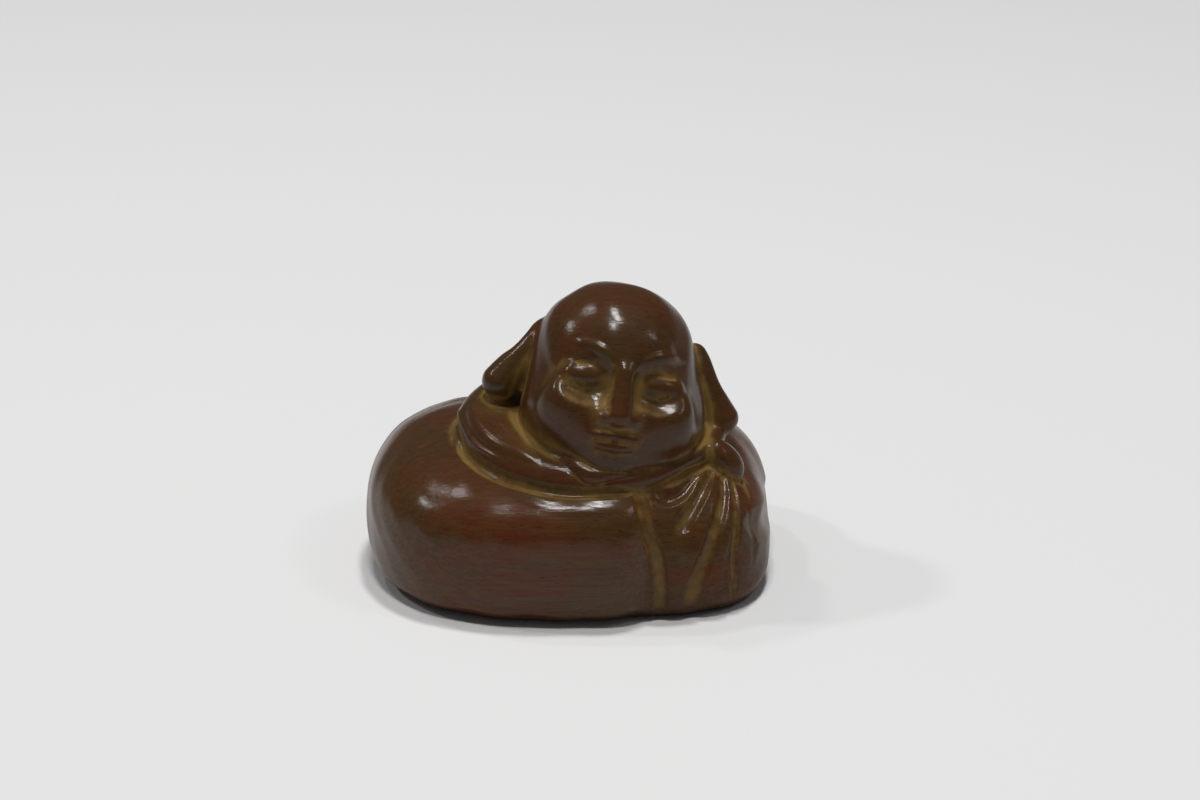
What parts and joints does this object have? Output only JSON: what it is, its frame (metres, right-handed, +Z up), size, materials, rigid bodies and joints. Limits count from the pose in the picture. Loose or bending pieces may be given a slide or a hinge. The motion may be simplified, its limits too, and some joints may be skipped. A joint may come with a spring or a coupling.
{
  "type": "netsuke",
  "caption": "Small carved wooden toggle: a bald head with long ears rises from the rolled, knotted mouth of a full sack, on a flat foot with a cord tunnel.",
  "frame": {"origin": "under the middle of the figure's box, on the plane of its flat foot", "axes": "+Z up; the face looks along -Y; +X is the viewer's right, the side of the knot"},
  "size_m": [0.0404, 0.0326, 0.03],
  "materials": {
    "wood": "polished dark red-brown hardwood, ochre in the recesses"
  },
  "bodies": {
    "root": {"netsuke": "wood"}
  },
  "joints": []
}
